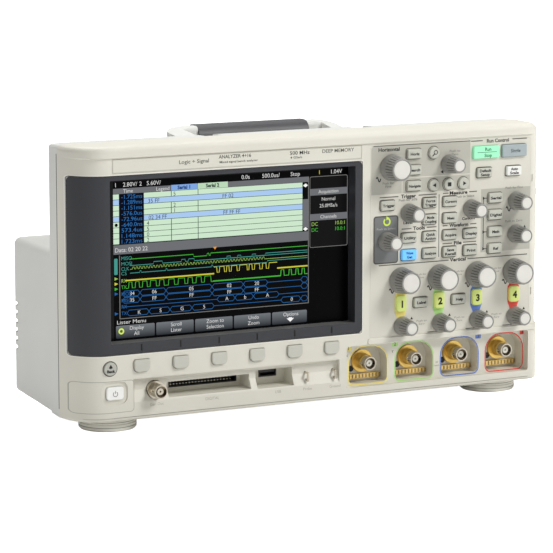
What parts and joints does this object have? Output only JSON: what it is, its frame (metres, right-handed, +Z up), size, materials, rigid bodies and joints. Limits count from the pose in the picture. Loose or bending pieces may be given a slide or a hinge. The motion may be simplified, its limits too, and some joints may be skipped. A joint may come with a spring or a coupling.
{
  "type": "logic analyzer",
  "caption": "Bench mixed-signal logic analyzer: curved case with a wide screen, softkeys, knob and key panel, bayonet inputs, logic port and a folding handle.",
  "frame": {"origin": "on the bench, under the middle of the case's width and depth", "axes": "+X to the right seen from the front, +Y from the front panel to the back, +Z up"},
  "size_m": [0.3764, 0.142, 0.201],
  "materials": {
    "case_front": "fine moulded texture",
    "case_rear": "fine moulded texture",
    "surround": "satin",
    "display": "satin glass",
    "nameplate": "satin",
    "panel": "satin print",
    "inlay": "satin print",
    "knob": "fine matte",
    "key": "matte",
    "key_run": "lit, matte",
    "key_single": "matte",
    "key_power": "matte",
    "key_channel": "lit, matte",
    "feet": "matte",
    "grip": "satin",
    "black_plastic": "moulded",
    "nickel": "bright plating",
    "gold": "bright plating",
    "steel": "pressed sheet",
    "circuit_board": "solder resist"
  },
  "bodies": {
    "case": {"front_bezel": "case_front", "screen_surround": "surround", "lcd_module": "display", "nameplate": "nameplate", "control_panel": "panel", "entry_panel": "inlay", "keypad_board": "circuit_board", "bnc_sockets": "nickel", "input_flanges": "gold", "logic_port": "black_plastic", "usb_port": "steel", "probe_terminals": "nickel", "rear_cover": "case_rear", "module_cover": "case_rear", "rear_connectors": "steel", "power_inlet": "black_plastic", "cover_screws": "steel", "chassis": "steel", "main_board": "circuit_board", "power_supply": "circuit_board", "fan_frame": "black_plastic", "feet": "feet"},
    "handle": {"handle_frame": "case_rear", "handle_grip": "grip"},
    "fan": {"fan_rotor": "black_plastic"},
    "tilt_legs": {"tilt_tabs": "feet"},
    "knob_horizontal_scale": {"knob_horizontal_scale": "knob"},
    "knob_horizontal_position": {"knob_horizontal_position": "knob"},
    "knob_trigger_level": {"knob_trigger_level": "knob"},
    "knob_cursors": {"knob_cursors": "knob"},
    "knob_entry": {"knob_entry": "knob"},
    "knob_source_scale": {"knob_source_scale": "knob"},
    "knob_source_position": {"knob_source_position": "knob"},
    "knob_scale_1": {"knob_scale_1": "knob"},
    "knob_position_1": {"knob_position_1": "knob"},
    "knob_scale_2": {"knob_scale_2": "knob"},
    "knob_position_2": {"knob_position_2": "knob"},
    "knob_scale_3": {"knob_scale_3": "knob"},
    "knob_position_3": {"knob_position_3": "knob"},
    "knob_scale_4": {"knob_scale_4": "knob"},
    "knob_position_4": {"knob_position_4": "knob"},
    "power_button": {"power_button": "key_power"},
    "back_key": {"back_key": "key"},
    "run_stop_key": {"run_stop_key": "key_run"},
    "single_key": {"single_key": "key_single"},
    "channel_key_1": {"channel_key_1": "key_channel"},
    "channel_key_2": {"channel_key_2": "key_channel"},
    "channel_key_3": {"channel_key_3": "key_channel"},
    "channel_key_4": {"channel_key_4": "key_channel"},
    "softkey_1": {"softkey_1": "key"},
    "softkey_2": {"softkey_2": "key"},
    "softkey_3": {"softkey_3": "key"},
    "softkey_4": {"softkey_4": "key"},
    "softkey_5": {"softkey_5": "key"},
    "softkey_6": {"softkey_6": "key"},
    "menu_keys": {"menu_keys": "key"},
    "horizontal_keys": {"horizontal_keys": "key"},
    "setup_keys": {"setup_keys": "key"},
    "source_keys": {"source_keys": "key"},
    "label_keys": {"label_keys": "key"}
  },
  "joints": [
    {"name": "handle_swing", "type": "hinge", "parent": "case", "child": "handle", "pos_m": [0, -0.006, 0.1936], "axis": [1, 0, 0], "range_deg": [0, 90]},
    {"name": "fan_spin", "type": "hinge", "parent": "case", "child": "fan", "pos_m": [0.12, 0.055, 0.072], "axis": [0, 1, 0], "continuous": true},
    {"name": "tilt_legs_fold", "type": "hinge", "parent": "case", "child": "tilt_legs", "pos_m": [0, -0.018, 0.0018], "axis": [1, 0, 0], "range_deg": [0, 80]},
    {"name": "horizontal_scale_turn", "type": "hinge", "parent": "case", "child": "knob_horizontal_scale", "pos_m": [0.06, -0.055, 0.1748], "axis": [0, -1, 0], "continuous": true},
    {"name": "horizontal_position_turn", "type": "hinge", "parent": "case", "child": "knob_horizontal_position", "pos_m": [0.108, -0.055, 0.175], "axis": [0, -1, 0], "continuous": true},
    {"name": "trigger_level_turn", "type": "hinge", "parent": "case", "child": "knob_trigger_level", "pos_m": [0.0745, -0.055, 0.141], "axis": [0, -1, 0], "continuous": true},
    {"name": "cursors_turn", "type": "hinge", "parent": "case", "child": "knob_cursors", "pos_m": [0.127, -0.055, 0.141], "axis": [0, -1, 0], "continuous": true},
    {"name": "entry_turn", "type": "hinge", "parent": "case", "child": "knob_entry", "pos_m": [0.056, -0.055, 0.1215], "axis": [0, -1, 0], "continuous": true},
    {"name": "source_scale_turn", "type": "hinge", "parent": "case", "child": "knob_source_scale", "pos_m": [0.1655, -0.055, 0.1445], "axis": [0, -1, 0], "continuous": true},
    {"name": "source_position_turn", "type": "hinge", "parent": "case", "child": "knob_source_position", "pos_m": [0.1655, -0.055, 0.12], "axis": [0, -1, 0], "continuous": true},
    {"name": "scale_1_turn", "type": "hinge", "parent": "case", "child": "knob_scale_1", "pos_m": [0.0683, -0.055, 0.092], "axis": [0, -1, 0], "continuous": true},
    {"name": "position_1_turn", "type": "hinge", "parent": "case", "child": "knob_position_1", "pos_m": [0.0693, -0.055, 0.0585], "axis": [0, -1, 0], "continuous": true},
    {"name": "scale_2_turn", "type": "hinge", "parent": "case", "child": "knob_scale_2", "pos_m": [0.1003, -0.055, 0.092], "axis": [0, -1, 0], "continuous": true},
    {"name": "position_2_turn", "type": "hinge", "parent": "case", "child": "knob_position_2", "pos_m": [0.1013, -0.055, 0.0585], "axis": [0, -1, 0], "continuous": true},
    {"name": "scale_3_turn", "type": "hinge", "parent": "case", "child": "knob_scale_3", "pos_m": [0.1323, -0.055, 0.092], "axis": [0, -1, 0], "continuous": true},
    {"name": "position_3_turn", "type": "hinge", "parent": "case", "child": "knob_position_3", "pos_m": [0.1333, -0.055, 0.0585], "axis": [0, -1, 0], "continuous": true},
    {"name": "scale_4_turn", "type": "hinge", "parent": "case", "child": "knob_scale_4", "pos_m": [0.1643, -0.055, 0.092], "axis": [0, -1, 0], "continuous": true},
    {"name": "position_4_turn", "type": "hinge", "parent": "case", "child": "knob_position_4", "pos_m": [0.1653, -0.055, 0.0585], "axis": [0, -1, 0], "continuous": true},
    {"name": "power_button_press", "type": "slide", "parent": "case", "child": "power_button", "axis": [0, 1, 0], "range_m": [0, 0.0012], "stiffness_N_per_m": 300, "springref_m": -0.002},
    {"name": "back_key_press", "type": "slide", "parent": "case", "child": "back_key", "axis": [0, 1, 0], "range_m": [0, 0.0012], "stiffness_N_per_m": 300, "springref_m": -0.002},
    {"name": "run_stop_key_press", "type": "slide", "parent": "case", "child": "run_stop_key", "axis": [0, 1, 0], "range_m": [0, 0.0012], "stiffness_N_per_m": 300, "springref_m": -0.002},
    {"name": "single_key_press", "type": "slide", "parent": "case", "child": "single_key", "axis": [0, 1, 0], "range_m": [0, 0.0012], "stiffness_N_per_m": 300, "springref_m": -0.002},
    {"name": "channel_key_1_press", "type": "slide", "parent": "case", "child": "channel_key_1", "axis": [0, 1, 0], "range_m": [0, 0.0012], "stiffness_N_per_m": 300, "springref_m": -0.002},
    {"name": "channel_key_2_press", "type": "slide", "parent": "case", "child": "channel_key_2", "axis": [0, 1, 0], "range_m": [0, 0.0012], "stiffness_N_per_m": 300, "springref_m": -0.002},
    {"name": "channel_key_3_press", "type": "slide", "parent": "case", "child": "channel_key_3", "axis": [0, 1, 0], "range_m": [0, 0.0012], "stiffness_N_per_m": 300, "springref_m": -0.002},
    {"name": "channel_key_4_press", "type": "slide", "parent": "case", "child": "channel_key_4", "axis": [0, 1, 0], "range_m": [0, 0.0012], "stiffness_N_per_m": 300, "springref_m": -0.002},
    {"name": "softkey_1_press", "type": "slide", "parent": "case", "child": "softkey_1", "axis": [0, 1, 0], "range_m": [0, 0.0012], "stiffness_N_per_m": 300, "springref_m": -0.002},
    {"name": "softkey_2_press", "type": "slide", "parent": "case", "child": "softkey_2", "axis": [0, 1, 0], "range_m": [0, 0.0012], "stiffness_N_per_m": 300, "springref_m": -0.002},
    {"name": "softkey_3_press", "type": "slide", "parent": "case", "child": "softkey_3", "axis": [0, 1, 0], "range_m": [0, 0.0012], "stiffness_N_per_m": 300, "springref_m": -0.002},
    {"name": "softkey_4_press", "type": "slide", "parent": "case", "child": "softkey_4", "axis": [0, 1, 0], "range_m": [0, 0.0012], "stiffness_N_per_m": 300, "springref_m": -0.002},
    {"name": "softkey_5_press", "type": "slide", "parent": "case", "child": "softkey_5", "axis": [0, 1, 0], "range_m": [0, 0.0012], "stiffness_N_per_m": 300, "springref_m": -0.002},
    {"name": "softkey_6_press", "type": "slide", "parent": "case", "child": "softkey_6", "axis": [0, 1, 0], "range_m": [0, 0.0012], "stiffness_N_per_m": 300, "springref_m": -0.002},
    {"name": "menu_keys_press", "type": "slide", "parent": "case", "child": "menu_keys", "axis": [0, 1, 0], "range_m": [0, 0.0012], "stiffness_N_per_m": 300, "springref_m": -0.002},
    {"name": "horizontal_keys_press", "type": "slide", "parent": "case", "child": "horizontal_keys", "axis": [0, 1, 0], "range_m": [0, 0.0012], "stiffness_N_per_m": 300, "springref_m": -0.002},
    {"name": "setup_keys_press", "type": "slide", "parent": "case", "child": "setup_keys", "axis": [0, 1, 0], "range_m": [0, 0.0012], "stiffness_N_per_m": 300, "springref_m": -0.002},
    {"name": "source_keys_press", "type": "slide", "parent": "case", "child": "source_keys", "axis": [0, 1, 0], "range_m": [0, 0.0012], "stiffness_N_per_m": 300, "springref_m": -0.002},
    {"name": "label_keys_press", "type": "slide", "parent": "case", "child": "label_keys", "axis": [0, 1, 0], "range_m": [0, 0.0012], "stiffness_N_per_m": 300, "springref_m": -0.002}
  ]
}
